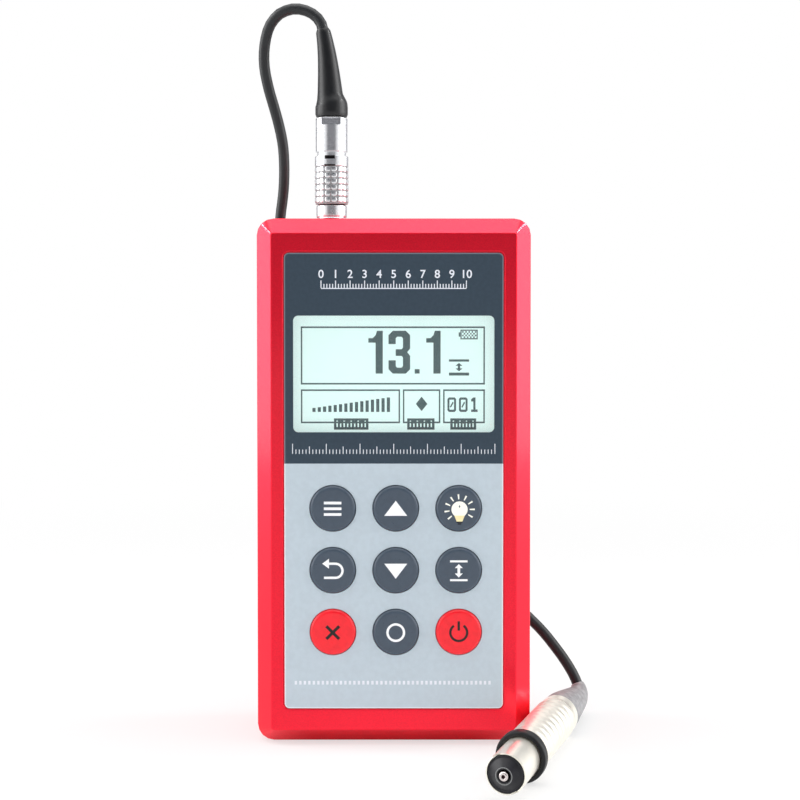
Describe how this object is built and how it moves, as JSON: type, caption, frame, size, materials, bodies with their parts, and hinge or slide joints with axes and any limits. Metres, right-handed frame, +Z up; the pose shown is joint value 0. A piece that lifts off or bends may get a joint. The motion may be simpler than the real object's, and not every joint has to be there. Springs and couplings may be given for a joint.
{
  "type": "coating thickness gauge",
  "caption": "Handheld coating thickness gauge with display and keypad, its spring probe on a cord with a push-pull plug.",
  "frame": {"origin": "middle of the housing's lower end, on the surface that it stands on", "axes": "+Z up along the housing, the display faces -Y, +X to the viewer's right"},
  "size_m": [0.1036, 0.0832, 0.223],
  "materials": {
    "red_metal": "red anodised, satin",
    "panel_film": "printed film, slate above and pale blue-grey below",
    "clear_pane": "clear",
    "lcd_mint": "pale mint display",
    "slate_key": "slate, semi-gloss",
    "red_key": "bright red, semi-gloss",
    "board_green": "green circuit board",
    "spring_steel": "bright spring steel",
    "screw_steel": "dark steel",
    "chrome": "polished",
    "black_plastic": "black",
    "black_rubber": "black, satin",
    "grey_rubber": "grey, satin",
    "battery_wrap": "dark sleeve",
    "brass": "machined",
    "copper": "wound copper wire",
    "white_plastic": "white diffuser"
  },
  "bodies": {
    "housing": {"battery_1": "battery_wrap", "battery_2": "battery_wrap", "battery_cover": "red_metal", "battery_tray": "black_plastic", "buzzer": "black_plastic", "cable_clamp": "brass", "case_screw_1": "screw_steel", "case_screw_2": "screw_steel", "case_screw_3": "screw_steel", "case_screw_4": "screw_steel", "contact_bridge": "spring_steel", "contact_plate": "spring_steel", "contact_spring_1": "spring_steel", "contact_spring_2": "spring_steel", "cord": "black_rubber", "cover_screw_1": "screw_steel", "cover_screw_2": "screw_steel", "display_window": "clear_pane", "dome_clear": "spring_steel", "dome_delete": "spring_steel", "dome_down": "spring_steel", "dome_light": "spring_steel", "dome_limit": "spring_steel", "dome_menu": "spring_steel", "dome_power": "spring_steel", "dome_quit": "spring_steel", "dome_up": "spring_steel", "front_panel": "panel_film", "front_shell": "red_metal", "keypad_board": "board_green", "lcd_backlight": "white_plastic", "lcd_frame": "black_plastic", "lcd_glass": "lcd_mint", "main_board": "board_green", "probe_boot": "grey_rubber", "probe_grip": "chrome", "probe_ring": "black_rubber", "probe_socket": "chrome", "probe_spring": "spring_steel", "rear_shell": "red_metal", "socket_insert": "black_plastic", "socket_nut": "brass"},
    "plug": {"plug_body": "chrome", "plug_insert": "black_plastic", "plug_nut": "chrome", "bend_relief": "black_rubber"},
    "sleeve": {"plug_sleeve": "chrome"},
    "nose": {"probe_nose": "chrome", "probe_face": "black_plastic", "probe_pole": "chrome", "probe_coil": "copper"},
    "menu_key": {"key_menu": "slate_key"},
    "up_key": {"key_up": "slate_key"},
    "light_key": {"key_light": "slate_key"},
    "quit_key": {"key_quit": "slate_key"},
    "down_key": {"key_down": "slate_key"},
    "limit_key": {"key_limit": "slate_key"},
    "delete_key": {"key_delete": "red_key"},
    "clear_key": {"key_clear": "slate_key"},
    "power_key": {"key_power": "red_key"}
  },
  "joints": [
    {"name": "menu_press", "type": "slide", "parent": "housing", "child": "menu_key", "axis": [0, 1, 0], "range_m": [0, 0.0004], "stiffness_N_per_m": 2500, "springref_m": -0.0002},
    {"name": "up_press", "type": "slide", "parent": "housing", "child": "up_key", "axis": [0, 1, 0], "range_m": [0, 0.0004], "stiffness_N_per_m": 2500, "springref_m": -0.0002},
    {"name": "light_press", "type": "slide", "parent": "housing", "child": "light_key", "axis": [0, 1, 0], "range_m": [0, 0.0004], "stiffness_N_per_m": 2500, "springref_m": -0.0002},
    {"name": "quit_press", "type": "slide", "parent": "housing", "child": "quit_key", "axis": [0, 1, 0], "range_m": [0, 0.0004], "stiffness_N_per_m": 2500, "springref_m": -0.0002},
    {"name": "down_press", "type": "slide", "parent": "housing", "child": "down_key", "axis": [0, 1, 0], "range_m": [0, 0.0004], "stiffness_N_per_m": 2500, "springref_m": -0.0002},
    {"name": "limit_press", "type": "slide", "parent": "housing", "child": "limit_key", "axis": [0, 1, 0], "range_m": [0, 0.0004], "stiffness_N_per_m": 2500, "springref_m": -0.0002},
    {"name": "delete_press", "type": "slide", "parent": "housing", "child": "delete_key", "axis": [0, 1, 0], "range_m": [0, 0.0004], "stiffness_N_per_m": 2500, "springref_m": -0.0002},
    {"name": "clear_press", "type": "slide", "parent": "housing", "child": "clear_key", "axis": [0, 1, 0], "range_m": [0, 0.0004], "stiffness_N_per_m": 2500, "springref_m": -0.0002},
    {"name": "power_press", "type": "slide", "parent": "housing", "child": "power_key", "axis": [0, 1, 0], "range_m": [0, 0.0004], "stiffness_N_per_m": 2500, "springref_m": -0.0002},
    {"name": "plug_pull", "type": "slide", "parent": "housing", "child": "plug", "axis": [0, 0, 1], "range_m": [0, 0.012], "deforming": ["cord"]},
    {"name": "sleeve_release", "type": "slide", "parent": "plug", "child": "sleeve", "axis": [0, 0, 1], "range_m": [0, 0.001], "stiffness_N_per_m": 800, "springref_m": -0.0005},
    {"name": "nose_press", "type": "slide", "parent": "housing", "child": "nose", "axis": [0.3566, 0.9339, -0.0242], "range_m": [0, 0.003], "stiffness_N_per_m": 300, "springref_m": -0.001, "deforming": ["probe_spring"]}
  ]
}
